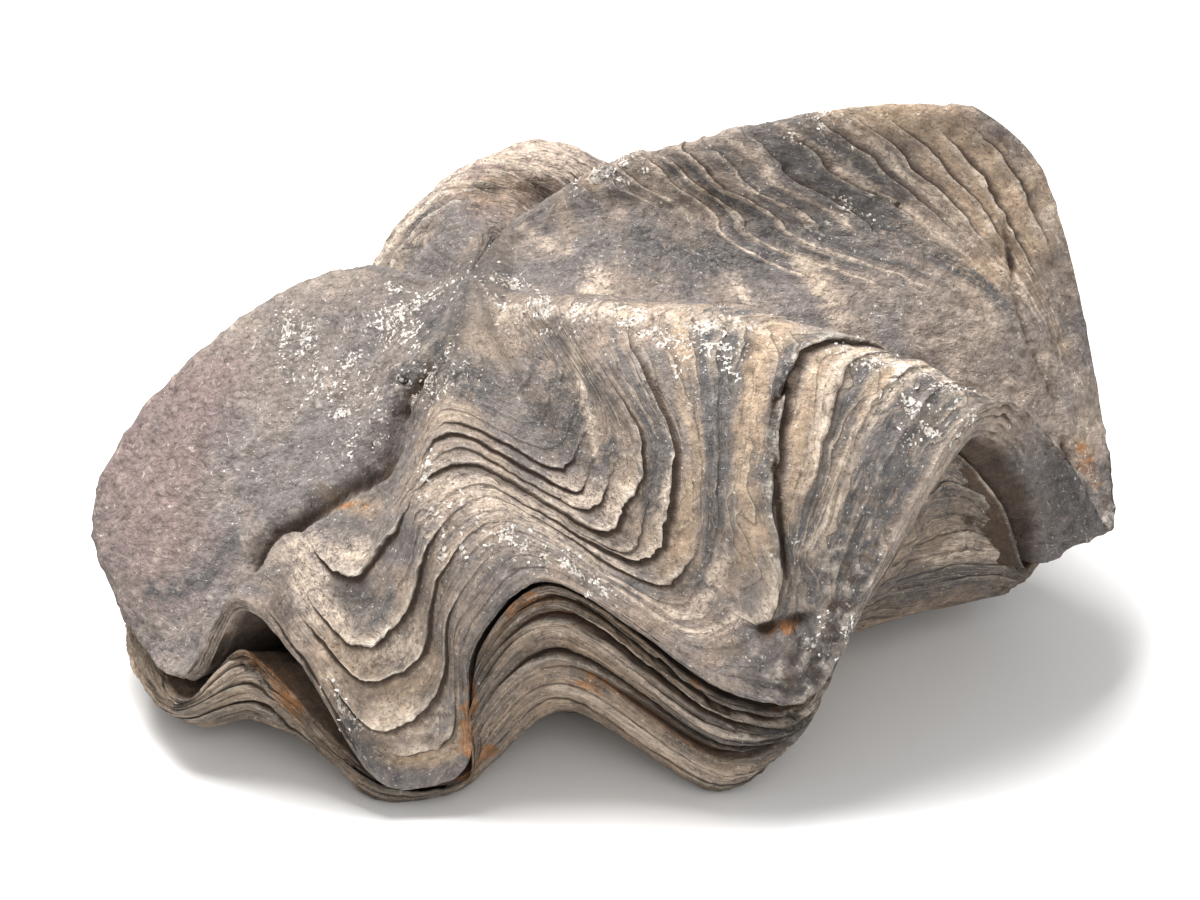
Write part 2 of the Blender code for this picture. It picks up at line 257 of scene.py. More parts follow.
def facing(places):
    """Unit normals of a closed grid of places, rows by columns, that point out of the shell."""
    down = np.gradient(places, axis=0)
    across = np.roll(places, -1, axis=1) - np.roll(places, 1, axis=1)
    normal = np.cross(down, across)
    return normal / (np.linalg.norm(normal, axis=-1, keepdims=True) + 1e-9)


def ledge_rows(ends, row_parts, place_round, most_height, undercut, slit, lag, crispness, plainness, calm,
               seed):
    """The rows of overlapping ledges: their ways, layers and heights, and how far each is edge or hollow.

    A high ledge overhangs the one after it by undercut, and a low one ends in a short slope.
    """
    rows = []
    start = np.zeros_like(place_round)
    start_height = np.zeros_like(place_round)
    last_end = 0
    for number, (end, bold) in enumerate(ends):
        wander = (0.016 * rough_round(place_round, 0.6, seed + number)
                  + 0.008 * rough_round(place_round, 2.5, seed + 40 + number)
                  + 0.0035 * rough_round(place_round, 11, seed + 80 + number))
        strength = PLAIN_LEDGE[0] + PLAIN_LEDGE[1] * rough_round(place_round, 0.9, seed + 120 + number, 2)
        strength = strength * plainness - calm
        for middle, half, amount, stray in bold:
            share = stretch(place_round, middle, half)
            strength = strength + amount * share
            wander = wander + stray * share
        stop = np.maximum(end + lag * math.sin(math.pi * end) + wander, start + LEAST_LEDGE)
        strength = np.clip(strength, 0.03, 1.3)
        height = most_height * strength * crispness(np.clip(stop, 0, 1))
        drop = start_height / most_height
        for part in row_parts:
            first = part == row_parts[0]
            if first:
                way = start + LEDGE_SLOPE - (undercut + LEDGE_SLOPE) * np.clip(drop, 0, 1)
            else:
                way = start + (stop - start) * part
            layer = last_end + (end - last_end) * part * np.ones_like(place_round)
            relief = height * part ** 1.6 - first * slit * np.clip(drop - 0.5, 0, 0.8)
            edge = height / most_height * (part > 0.9)
            # hollow marks the foot of a ledge under the overhang of a high one, where the finish paints
            # shade
            hollow = np.clip(start_height / 1.2, 0, 1) * (1.0 if first else 0.45 * (part < 0.3))
            rows.append((way, layer, relief, edge, hollow))
        start = stop
        start_height = height
        last_end = end
    return [np.array(values) for values in zip(*rows)]


def near(places, strokes, ragged=0.35, seed=3):
    """How near places are to strokes, 1 on a stroke's line to 0 at its radius, with a ragged edge."""
    mask = np.zeros(places.shape[:-1])
    places = places + CENTRE_SHIFT
    for radius, *points in strokes:
        points = np.array(points, dtype=float)
        starts = points[:-1] if len(points) > 1 else points
        ends = points[1:] if len(points) > 1 else points + 0.01
        box_low = points.min(axis=0) - 1.6 * radius
        box_high = points.max(axis=0) + 1.6 * radius
        inside = np.all((places > box_low) & (places < box_high), axis=-1)
        chosen = places[inside]
        if not len(chosen):
            continue
        distance = np.full(len(chosen), np.inf)
        for start, end in zip(starts, ends):
            run = end - start
            part = np.clip((chosen - start) @ run / (run @ run), 0, 1)
            distance = np.minimum(distance, np.linalg.norm(chosen - start - part[:, None] * run, axis=1))
        distance = distance + ragged * radius * rough(chosen, max(0.6 * radius, 2.0), seed)
        mask[inside] = np.maximum(mask[inside], eased(np.clip(1 - distance / radius, 0, 1)))
    return mask


def standing_proud(relief, reach=4, most=0.9):
    """How far each place stands above (to 1) or below (to -1) the middle height of those round it."""
    middle = np.zeros_like(relief)
    rows = np.arange(len(relief))
    for step in range(-reach, reach + 1):
        middle += relief[np.clip(rows + step, 0, len(relief) - 1)] + np.roll(relief, 2 * step, axis=1)
    return np.clip((relief - middle / (4 * reach + 2)) / most, -1, 1)


def placed(name, data):
    """A new object of the scene, at the origin."""
    made = bpy.data.objects.new(name, data)
    bpy.context.scene.collection.objects.link(made)
    return made


def skin(name, places, top, bottom, marks, material):
    """A closed mesh of a grid of places with a pole at each end; marks are its named numbers."""
    rows, columns = places.shape[:2]
    points = np.concatenate([places.reshape(-1, 3), [top], [bottom]])
    top_number = rows * columns
    faces = []
    following = (np.arange(columns) + 1) % columns
    for row in range(rows - 1):
        here = row * columns
        below = here + columns
        quads = np.stack([np.arange(columns) + here, np.arange(columns) + below,
                          following + below, following + here], axis=1)
        faces.extend(quads.tolist())
    last = (rows - 1) * columns
    for column in range(columns):
        faces.append([top_number, column, int(following[column])])
        faces.append([top_number + 1, last + int(following[column]), last + column])
    mesh = bpy.data.meshes.new(name)
    mesh.from_pydata((points + CENTRE_SHIFT) * MM, [], faces)
    mesh.polygons.foreach_set("use_smooth", np.ones(len(mesh.polygons), dtype=bool))
    for mark, values in marks.items():
        if values.ndim == 3:
            layer = mesh.attributes.new(mark, "FLOAT_VECTOR", "POINT")
            flat = np.concatenate([values.reshape(-1, 3), values[:1, 0], values[-1:, 0]])
            layer.data.foreach_set("vector", flat.ravel().astype(np.float32))
        else:
            layer = mesh.attributes.new(mark, "FLOAT", "POINT")
            flat = np.concatenate([values.ravel(), values[0, :1], values[-1, :1]])
            layer.data.foreach_set("value", flat.astype(np.float32))
    mesh.materials.append(material)
    return placed(name, mesh)


def add_node(tree, kind, settings, values):
    """A new node of a tree: its settings are made first, then the values or links of its sockets."""
    made = tree.nodes.new(kind)
    for setting, value in settings.items():
        setattr(made, setting, value)
    for socket, value in values.items():
        value = getattr(value, "socket", value)
        if isinstance(value, bpy.types.NodeSocket):
            tree.links.new(value, made.inputs[socket])
        else:
            made.inputs[socket].default_value = value
    return made


class Value:
    """A shader socket on which Python's arithmetic works: each operator adds its Math node."""

    def __init__(self, finish, socket):
        self.finish = finish
        self.socket = socket

    def maths(self, operation, first, second=0.0):
        return self.finish.node("ShaderNodeMath", {"operation": operation}, {0: first, 1: second})

    def __add__(self, other):
        return self.maths("ADD", self, other)

    def __sub__(self, other):
        return self.maths("SUBTRACT", self, other)

    def __rsub__(self, other):
        return self.maths("SUBTRACT", other, self)

    def __mul__(self, other):
        return self.maths("MULTIPLY", self, other)

    def fraction(self):
        return self.maths("FRACT", self)

    __radd__ = __add__
    __rmul__ = __mul__


class Finish:
    """A finish while it is made: its material, and the nodes it is made of."""

    def __init__(self, name):
        self.material = bpy.data.materials.new(name)
        self.material.use_nodes = True
        self.tree = self.material.node_tree
        self.shader = self.tree.nodes["Principled BSDF"]

    def node(self, kind, settings, values, output=0):
        return Value(self, add_node(self.tree, kind, settings, values).outputs[output])

    def mark(self, name, output="Fac"):
        return self.node("ShaderNodeAttribute", {"attribute_name": name}, {}, output)

    def place(self):
        return self.node("ShaderNodeTexCoord", {}, {}, "Object")

    def stretched(self, vector, rates):
        return self.node("ShaderNodeVectorMath", {"operation": "MULTIPLY"}, {0: vector, 1: rates})

    def mottle(self, vector, scale, detail=3.0, roughness=0.55, distortion=0.0):
        return self.node("ShaderNodeTexNoise", {"noise_dimensions": "3D"},
                         {"Vector": vector, "Scale": scale, "Detail": detail,
                          "Roughness": roughness, "Distortion": distortion})

    def between(self, value, low, high):
        return self.node("ShaderNodeMapRange", {"interpolation_type": "SMOOTHSTEP"},
                         {"Value": value, "From Min": low, "From Max": high})

    def blend(self, under, over, share):
        under = under if isinstance(under, Value) else (*under, 1)
        over = over if isinstance(over, Value) else (*over, 1)
        return self.node("ShaderNodeMix", {"data_type": "RGBA"}, {0: share, 6: under, 7: over}, 2)

    def dimmed(self, colour, share):
        grey = self.node("ShaderNodeCombineColor", {}, {0: share, 1: share, 2: share})
        return self.node("ShaderNodeMix", {"data_type": "RGBA", "blend_type": "MULTIPLY"},
                         {0: 1.0, 6: colour, 7: grey}, 2)

    def finished(self, colour, roughness, height, strength, depth):
        bumped = self.node("ShaderNodeBump", {},
                           {"Strength": strength, "Distance": depth, "Height": height})
        for socket, value in (("Base Color", colour), ("Roughness", roughness), ("Normal", bumped)):
            self.tree.links.new(value.socket, self.shader.inputs[socket])
        return self.material


# Places along the third fold's crest
THIRD_CREST = ((-30, -21, 118), (-13, -32, 125), (12, -41, 127), (42, -48, 127))

# Stains, grit, cracks and worn spots of the upper valve: each stroke is a radius and the places that
# it runs through
ROSE = (
    (34, (-40, 56, 125), (-14, 70, 126)), (30, (-118, -11, 84), (-137, -31, 55), (-127, -45, 50)),
    (26, (-133, -1, 79), (-144, -22, 57)),
)
OCHRE = (
    (17, (70, 42, 151), (98, 40, 148), (112, 37, 134), (120, 35, 124), (116, 27, 111)),
    (5, (55, 22, 117), (61, 18, 110), (65, 12, 107), (69, 5, 102)),
    (7, (-5, 26, 138)), (9, (-42, 42, 127), (-28, 49, 125)), (8, (113, 26, 109)),
    (3, (126, 25, 104), (131, 22, 97), (136, 19, 87)),
    (6, (141, 0, 62), (145, -7, 55)), (5, (-77, -54, 75), (-66, -59, 76)),
    (9, (-76, -89, 45), (-65, -90, 46)), (9, (-60, -95, 34), (-49, -95, 44)),
)
SLATE = (
    (16, (10, 14, 122), (30, 16, 118), (52, 22, 118)), (18, (50, 36, 140), (80, 38, 132)),
    (6, (-130, -52, 43), (-115, -56, 51), (-104, -52, 62)), (15, (-52, -16, 110), (-42, -13, 117)),
    (14, (-53, -30, 103), (-46, -29, 109), (-41, -45, 107)),
    (22, (129, -38, 74), (138, -28, 56), (147, -12, 50)),
    (14, (61, -82, 83), (68, -88, 66)), (9, (-74, -79, 60), (-64, -87, 57)),
    (6, (-72, -97, 28), (-66, -100, 18), (-57, -102, 13)),
    (9, (-21, -51, 98), (-13, -51, 104)), (8, (12, -73, 85), (13, -69, 98)),
    (5, (-40, 43, 127), (-33, 46, 126)), (12, (-56, 40, 122), (-50, 46, 123)),
    (11, (-13, -48, 109), (-8, -56, 103), (-12, -57, 95)), (7, (10, -86, 66), (24, -86, 66)),
    (13, (66, -68, 107), (76, -76, 96), (66, -84, 79), (54, -88, 74)), (7, (42, -76, 100), (43, -84, 88)),
)
CREAM = (
    (14, (-38, -76, 92), (-26, -78, 88), (-13, -79, 82), (-2, -82, 77)),
    (8, (-13, -67, 85), (-2, -70, 83), (4, -72, 83)), (7, (-2, -82, 74), (12, -81, 72)),
    (2, (-11, -40, 119), (-5, -57, 101), (-3, -64, 92)), (5, (38, 11, 113), (40, 5, 108)),
    (4.5, (58, 20, 114), (61, 18, 110), (65, 12, 107), (68, 6, 103)),
    (6, (132, 34, 122)), (2, (-25, 16, 127), (-12, 7, 123)), (9, (-3, -3, 119)),
    (5, *THIRD_CREST), (4, (67, -52, 122), (94, -56, 115)), (9, (-77, -71, 68), (-68, -73, 68)),
    (11, (-85, -68, 68), (-83, -75, 63), (-78, -82, 55), (-72, -90, 44)),
    (10, (-64, -90, 46), (-54, -92, 50)), (9, (-60, -97, 30), (-50, -98, 30)),
    (24, (-30, 66, 128), (-10, 74, 124)),
)
GRIT = (
    (12, (-89, -3, 103), (-84, -17, 94)), (13, (-61, -14, 105), (-59, -4, 112)),
    (14, (-79, -19, 94), (-73, -37, 88)), (13, (-57, -30, 99), (-45, -38, 104)),
    (11, (-42, -4, 119), (-31, -4, 119)),
    (9, (-49, -70, 93), (-43, -86, 83), (-29, -89, 80), (-13, -88, 78), (-2, -92, 68)),
    (10, *THIRD_CREST), (12, (20, -50, 124), (35, -54, 120)),
    (8, (67, -52, 122), (81, -53, 119), (97, -60, 114)), (12, (80, -60, 116), (92, -68, 104)),
    (10, (56, 39, 151), (65, 38, 149)), (9, (71, 31, 124)), (9, (61, -94, 53), (66, -91, 58)),
    (10, (-52, 44, 124), (-46, 52, 124)), (11, (-5, 27, 138), (5, 30, 141)),
    (6, (-75, -96, 35), (-71, -97, 29)), (5, (-47, -80, 89), (-45, -90, 76)),
)
CRACKS = (
    (3.8, (-50, -30, 103), (-57, -35, 97), (-60, -43, 89), (-63, -49, 82), (-72, -52, 78), (-78, -55, 75),
     (-86, -59, 71), (-93, -59, 67), (-99, -63, 59)),
    (2.0, (53, -58, 119), (46, -65, 112), (45, -73, 103), (47, -81, 89), (48, -87, 74), (50, -91, 64)),
    (2.4, (135, -1, 65), (140, -5, 59), (148, -11, 52)),
    (3.5, (43, -92, 55), (47, -93, 57), (53, -92, 58)),
    (2.6, (117, 32, 120), (120, 28, 110), (122, 21, 101), (126, 13, 90), (133, 7, 76)),
    (2.5, (-124, -17, 75)), (2.5, (-57, -30, 99)), (2.5, (-50, -40, 99)), (3, (-52, -35, 101)),
)
CRACK_DEPTH = 4.2
WORN = (
    (13, (-56, -31, 99), (-64, -42, 89), (-80, -51, 78), (-99, -59, 63)),
    (30, (-62, -22, 100), (-88, -42, 78), (-110, -56, 56)), (30, (-52, 10, 114), (-44, -10, 116)),
)
ROUGH = (
    (16, (68, -88, 74), (62, -95, 53), (48, -99, 42)), (12, (110, -62, 106), (92, -74, 88), (74, -86, 64)),
    (16, (130, -44, 84), (146, -20, 52)), (14, (-55, -30, 101), (-42, -40, 106)),
)
ROLLS = (
    (17, (62, -60, 116), (66, -75, 100), (66, -85, 76)), (14, (110, -50, 108), (130, -44, 84)),
    (16, (84, -58, 116), (88, -72, 100), (80, -84, 78)),
)
RUSTED = (
    (6, (-38, -95, 41), (-38, -98, 32), (-38, -99, 22)), (3, (-74, -55, 75), (-65, -60, 76)),
    (4, (141, 0, 62), (145, -7, 55)), (4, (45, -93, 55), (51, -92, 56)),
)
LOBE_EDGE = (
    (9, (-58, -30, 99), (-65, -37, 92), (-70, -44, 85), (-77, -47, 80), (-84, -51, 76), (-91, -53, 71),
     (-99, -56, 65)),
)

# Stripes of colour that follow one growth layer: its way and half width, and its middle and half
# length in ribs round the shell
OCHRE_STRIPES = (
    (0.825, 0.01, 15.3, 1), (0.88, 0.012, 15.3, 1.1), (0.655, 0.014, 10.3, 0.7), (0.765, 0.018, 10.3, 1),
    (0.832, 0.014, 10.4, 1), (0.888, 0.01, 10.6, 0.9), (0.93, 0.025, 4.6, 0.9), (0.635, 0.018, 9, 1),
)
SLATE_STRIPES = (
    (0.49, 0.014, 15.5, 1.3), (0.54, 0.014, 15.5, 1.2), (0.6, 0.02, 15.6, 1.3), (0.67, 0.03, 15.2, 1.3),
    (0.705, 0.034, 10.1, 1.4), (0.795, 0.01, 10.5, 0.9), (0.862, 0.018, 10.4, 1.1),
    (0.927, 0.022, 10.3, 1.2), (0.972, 0.028, 10.2, 1.4), (0.56, 0.02, 9.6, 0.8), (0.43, 0.03, 8.6, 1.2),
)
CREAM_STRIPES = (
    (0.27, 0.009, 21.8, 1.3), (0.33, 0.009, 21.6, 1.4), (0.39, 0.009, 21.4, 1.5), (0.45, 0.01, 21, 1.6),
    (0.555, 0.01, 20.8, 1.5), (0.345, 0.006, 16, 1), (0.4, 0.006, 16, 1.2),
    (0.6, 0.005, 15.9, 1.1), (0.64, 0.006, 15.9, 1.1), (0.72, 0.006, 15.7, 1.2), (0.455, 0.007, 15.6, 1.5),
    (0.51, 0.007, 15.5, 1.4), (0.56, 0.006, 15.5, 1.4), (0.775, 0.008, 15.3, 1.5), (0.8, 0.006, 15.2, 1.2),
    (0.845, 0.006, 15.1, 1.2), (0.895, 0.006, 15.2, 1.2), (0.52, 0.012, 8.3, 1.2), (0.6, 0.014, 8.6, 1.4),
    (0.845, 0.008, 10.9, 0.8), (0.905, 0.01, 10.8, 0.9), (0.66, 0.012, 7.8, 0.9), (0.8, 0.014, 8.4, 1.2),
    (0.735, 0.016, 8.3, 1.2),
)


def striped(ways, place_round, stripes, seed):
    """How far places lie in stripes that follow growth layers, with ragged edges and gaps."""
    ragged = rough(bedding(ways, place_round) * (30, 2.0, 2.0), 1, seed, 3)
    mask = np.zeros(ways.shape)
    for way, half_width, middle, half_length in stripes:
        off = np.abs(ways - way) / half_width + np.abs((place_round - middle) / half_length) ** 4
        mask = np.maximum(mask, eased(np.clip(1.5 - off + 0.9 * ragged, 0, 1)))
    return mask


def bedding(way, place_round):
    """Where each place lies in the growth layers: across them, and round the shell in a closed circle."""
    turn = place_round * math.tau / RIB_COUNT
    radius = RIB_COUNT / math.tau
    way, turn = np.broadcast_arrays(way, turn)
    return np.stack([way, np.cos(turn) * radius, np.sin(turn) * radius], axis=-1)


def upper_valve_places():
    """The grid of places of the upper valve, and the marks that its finish reads."""
    crowns = np.array([rib.crown for rib in RIBS], dtype=float)
    columns = even_columns(crowns, UPPER_COLUMNS)
    wear = rib_value([rib.wear for rib in RIBS], columns)
    lined = rib_value([rib.lined for rib in RIBS], columns)
    lag = rib_value([CREST_LAG.get(rib.name, 0) for rib in RIBS], columns)

    def bare_at(way, place_round=columns):
        return surface(crowns, way, place_round)

    def worn_at(way):
        return np.maximum(wear, near(bare_at(way), WORN, 0.2, 9))

    ways, layers, heights, edges, hollows = ledge_rows(
        UPPER_LEDGES, UPPER_LEDGE_ROWS, columns, UPPER_LEDGE_HEIGHT, UPPER_LEDGE_UNDERCUT,
        UPPER_LEDGE_SLIT, lag, lambda way: 1 - worn_at(way), lined, CALM * stretch(columns, *CALM_VALLEY), 1)
    ways[-1] = 1.0
    ways = np.clip(ways, 0.0, 1.0)
    wear_all = np.array([worn_at(way) for way in ways])
    bare = bare_at(ways)
    rocky = near(bare, ROUGH, 0.3, 10)
    plain = bare_at(np.maximum.accumulate(ways, axis=0))
    step = 0.004
    run = bare_at(np.minimum(ways + step, 1)) - bare_at(np.maximum(ways - step, 0))
    side = bare_at(ways, columns + step) - bare_at(ways, columns - step)
    normal = np.cross(run, side)
    normal /= np.linalg.norm(normal, axis=-1, keepdims=True) + 1e-9
    near_margin = np.clip((ways - 0.8) / 0.2, 0, 1)
    growth = bedding(layers, columns)
    relief = (heights + (0.4 + 0.5 * wear_all + 0.4 * near_margin + 2.2 * rocky) * rough(plain, 5, 6)
              + (0.18 + 0.22 * wear_all + 0.7 * rocky) * rough(plain, 1.9, 7, 2)
              + (0.12 + 0.38 * lined) * (1 - wear_all) * rough(growth * (60, 2.2, 2.2), 1, 30, 3)
              + 2.2 * near(plain, ROLLS, 0.3, 31) * rough(growth * (24, 0.8, 0.8), 1, 32, 3))
    proud = standing_proud(relief)
    bulge = (relief + (0.9 + 1.1 * near_margin) * rough(plain, 17, 5)
             + 3.0 * near(plain, LOBE_EDGE, 0.2, 8) - 0.5)
    crown = bare + normal * np.maximum(bulge, 3.6 * near_margin - 4)[..., None]

    # The broken sheets of the rim, and the underside that goes in to the meeting place
    lip = ring([rib.lip for rib in RIBS], columns)
    margin = crown[-1]
    parts = np.arange(1, RIM_ROWS + 1)[:, None, None] / RIM_ROWS
    rim = margin + (lip - margin) * parts
    under = MEETING_PLACE + (lip - MEETING_PLACE) * (1 - np.array(UNDERSIDE_ROWS))[:, None, None]
    inner = np.concatenate([rim, under])
    inner_rows = np.arange(len(inner))[:, None]
    sheets = np.stack([rough_round(columns, 3.0, 200 + number) for number in range(len(inner))])
    sheets += np.where(inner_rows % 2 == 0, 0.5, -0.5) * (1 + rough_round(columns, 1.5, 190))
    leg = stretch(columns, *BROKEN_LEG)
    sheets = sheets * (1 - 0.8 * leg)
    # Painted shade on the underside, deeper towards where the valves meet, and darker over the broken leg
    inside = np.maximum(np.clip((inner_rows - RIM_ROWS + 2) / 5, 0, 0.85), 0.3 * leg)
    inner_normal = facing(np.concatenate([crown[-2:], inner]))[2:]
    inner_normal[-3:] = 0
    rugged = leg * (2.6 * rough(inner, 11, 45) + 1.3 * rough(inner, 4, 46))
    inner = inner + inner_normal * (0.8 * sheets + rugged)[..., None]
    sunk = THIN_WALL_DEPTH * stretch(columns, *THIN_WALL) * np.clip((inner_rows - 2) / RIM_ROWS, 0, 1)
    inner = inner - normal[-1] * sunk[..., None]

    # Cracks are found on the bare surface, so that ledges don't break their lines
    unbroken = np.concatenate([bare, inner])
    crack = near(unbroken, CRACKS, 0.12)
    normal_all = np.concatenate([normal, np.zeros_like(inner)])
    places = np.concatenate([crown, inner]) - normal_all * (CRACK_DEPTH * crack)[..., None]
    deep_way = 1 + (inner_rows + 1) * 0.012 * np.ones_like(columns)
    all_ways = np.concatenate([layers, deep_way])
    place_round = np.broadcast_to(columns, all_ways.shape)
    # The hollow mark paints shade under ledges, in the slits between rim sheets, on the underside and in the
    # cracks
    hollow = np.concatenate([hollows, np.maximum(np.clip(-sheets, 0, 1), inside)])
    inner_worn = np.maximum(0.2, leg) * np.ones_like(deep_way)
    clumped = np.clip(0.25 + 1.7 * rough(places, 4, 17, 3), 0, 1)
    marks = {
        "bedding": bedding(all_ways, place_round),
        "lined": np.broadcast_to(lined, all_ways.shape),
        "worn": np.concatenate([np.maximum(wear_all, 0.7 * rocky), inner_worn]),
        "edge": np.concatenate([edges, np.clip(sheets, 0, 1) * 0.4]),
        "hollow": np.maximum(hollow, crack),
        "proud": np.concatenate([proud, 0.6 * np.clip(sheets, -1, 1)]),
        "rust": near(unbroken, RUSTED, 0.45, 16),
        "rose": near(unbroken, ROSE, 0.4, 11),
        "grit": near(unbroken, GRIT, 0.6, 15) * clumped,
    }
    for stain, strokes, ragged, stripes, seed in (
        ("ochre", OCHRE, 0.45, OCHRE_STRIPES, 12), ("slate", SLATE, 0.45, SLATE_STRIPES, 13),
        ("cream", CREAM, 0.35, CREAM_STRIPES, 14),
    ):
        marks[stain] = np.maximum(near(unbroken, strokes, ragged, seed),
                                  striped(all_ways, place_round, stripes, seed + 6))
    return places, marks


# Colours of the stone, as linear red, green and blue
PALE_BAND = (0.54, 0.425, 0.32)
DARK_BAND = (0.14, 0.122, 0.11)
WORN_GREY = (0.175, 0.155, 0.15)
ROSE_STAIN = (0.235, 0.165, 0.155)
OCHRE_STAIN = (0.50, 0.36, 0.235)
RUST_STAIN = (0.40, 0.17, 0.05)
SLATE_STAIN = (0.095, 0.09, 0.09)
CREAM_STAIN = (0.64, 0.52, 0.415)
DARK_LINE = (0.10, 0.07, 0.048)
# Painted highlight near the edge of each fine growth step, and painted shadow just after its drop
STEP_EDGE_HIGHLIGHT = (0.56, 0.46, 0.345)
STEP_FOOT_SHADOW = (0.075, 0.048, 0.03)
PALE_CHIP = (0.62, 0.55, 0.47)
DARK_CHIP = (0.10, 0.08, 0.065)
FRESH_EDGE = (0.72, 0.65, 0.56)
# Painted highlight where the surface stands above its neighbours, and painted shade where it dips below them
PAINTED_RAISED_HIGHLIGHT = (0.66, 0.58, 0.48)
PAINTED_DIP_SHADE = (0.085, 0.055, 0.036)
WHITE_SPECK = (0.74, 0.69, 0.63)
DARK_SPECK = (0.085, 0.07, 0.06)
STONE_BUMP = 0.0022


def weathered_stone(name, warm, cool, shadow, line_rate, step_rate):
    """Weathered limestone: thin growth layers in warm and cool greys, pale on edges; shade in slits and dips
    and highlights on crests and steps are painted on.
    """
    finish = Finish(name)
    place = finish.place()
    layers = finish.mark("bedding", "Vector")

    def layered(rates, detail, roughness, distortion=0.0):
        return finish.mottle(finish.stretched(layers, rates), 1.0, detail, roughness, distortion)

    worn = finish.mark("worn")
    crisp = (1 - 0.9 * worn) * finish.mark("lined")
    patches = finish.mottle(place, 34, 5, 0.62, 0.5)
    bands = layered((44, 0.9, 0.9), 4, 0.62, 0.5)
    lines = layered((line_rate, 2.4, 2.4), 3, 0.6, 0.3)
    chips = layered((90, 12, 12), 4, 0.75, 0.8)
    grain = finish.mottle(place, 330, 4, 0.72, 0.5)
    fine = finish.mottle(place, 900, 3, 0.7)
    speck = finish.mottle(place, 950, 2, 0.6)
    shade = finish.between(finish.mottle(place, 260, 6, 0.8), 0.25, 0.75)
    crystals = finish.node("ShaderNodeTexVoronoi", {"feature": "F1"},
                           {"Vector": place, "Scale": 520, "Randomness": 1.0}, "Distance")
    across = finish.node("ShaderNodeSeparateXYZ", {}, {0: layers})
    step = (across * step_rate + layered((8, 1.1, 1.1), 3, 0.6, 0.3) * 6.0).fraction()
    stepped = finish.between(layered((10, 1.5, 1.5), 2, 0.5), 0.36, 0.56) * crisp
    banded = bands * crisp + patches * (1 - crisp)
    lined = lines * crisp + grain * (1 - crisp)
    proud = finish.mark("proud")
    rust = finish.between(finish.mark("rust") + 0.8 * grain, 0.75, 1.2)
    whiteness = speck + 0.26 * finish.mark("grit") + 0.25 * chips - 0.05 * finish.mark("rose")
    darkness = speck + 0.15 * grain - 0.06 * finish.mark("grit")
    colour = finish.blend(cool, warm, finish.between(patches * 0.5 + banded * 0.5, 0.42, 0.56))
    for tint, share in (
        (PALE_BAND, finish.between(banded, 0.55, 0.68) * 0.8),
        (DARK_BAND, finish.between(banded, 0.46, 0.34) * 0.7),
        (WORN_GREY, worn * (0.45 + 0.45 * bands)),
        (ROSE_STAIN, finish.mark("rose") * 0.75),
        (OCHRE_STAIN, finish.mark("ochre") * (0.35 + 0.6 * bands)),
        (RUST_STAIN, rust * 0.9),
        (SLATE_STAIN, finish.mark("slate") * finish.between(chips + lined, 0.78, 1.05)),
        (CREAM_STAIN, finish.mark("cream") * finish.between(lined + chips, 0.8, 1.1)),
        (DARK_LINE, finish.between(lined, 0.43, 0.33) * (0.8 * crisp + 0.2)),
        # painted highlight before each fine step's drop and painted shadow just after it
        (STEP_EDGE_HIGHLIGHT, finish.between(step, 0.66, 0.95) * stepped * 0.6),
        (STEP_FOOT_SHADOW, finish.between(step, 0.17, 0.04) * stepped * 0.8),
        (PALE_CHIP, finish.between(chips, 0.6, 0.68) * 0.6),
        (DARK_CHIP, finish.between(chips, 0.39, 0.31) * 0.7),
        (FRESH_EDGE, finish.mark("edge") * finish.between(grain, 0.46, 0.6) * 0.85),
        # painted highlight on raised places and painted shade in dips
        (PAINTED_RAISED_HIGHLIGHT, finish.between(proud, 0.15, 0.9) * 0.35),
        (PAINTED_DIP_SHADE, finish.between(-1 * proud, 0.25, 0.95) * 0.6),
        (WHITE_SPECK, finish.between(whiteness, 0.79, 0.85) * 0.75),
        (DARK_SPECK, finish.between(darkness, 0.46, 0.4) * 0.6),
        (shadow, finish.between(finish.mark("hollow"), 0.2, 0.7) * 0.92),
    ):
        colour = finish.blend(colour, tint, share)
    colour = finish.dimmed(colour, 0.52 + 0.8 * shade)
    relief = (step * stepped * 0.55 + lined * 0.35 + banded * 0.3 + chips * 0.4 + grain * 0.5
              + fine * 0.15 + 0.25 * (1 - crystals) * (0.3 + worn))
    return finish.finished(colour, 0.75 + 0.25 * grain, relief, 1.0, STONE_BUMP)


upper_places, upper_marks = upper_valve_places()
upper_stone = weathered_stone("upper_valve_limestone", warm=(0.325, 0.253, 0.198), cool=(0.2, 0.174, 0.163),
                              shadow=(0.05, 0.029, 0.017), line_rate=190, step_rate=34)
upper_valve = skin("upper_valve_skin", upper_places, APEX, MEETING_PLACE, upper_marks, upper_stone)
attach(upper_valve, "root")
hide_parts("upper_valve")


# Crystal grains: hard white calcite that weathering has left standing on the crests, where the softer
# stone round it has washed out. They are part of the stone, each half sunk in it.

GRAINS_PER_SQUARE_METRE = 450000
GRAIN_SIZE = 0.00046
GRAIN_SEED = 7
GRAIN_BUMP = 0.0003


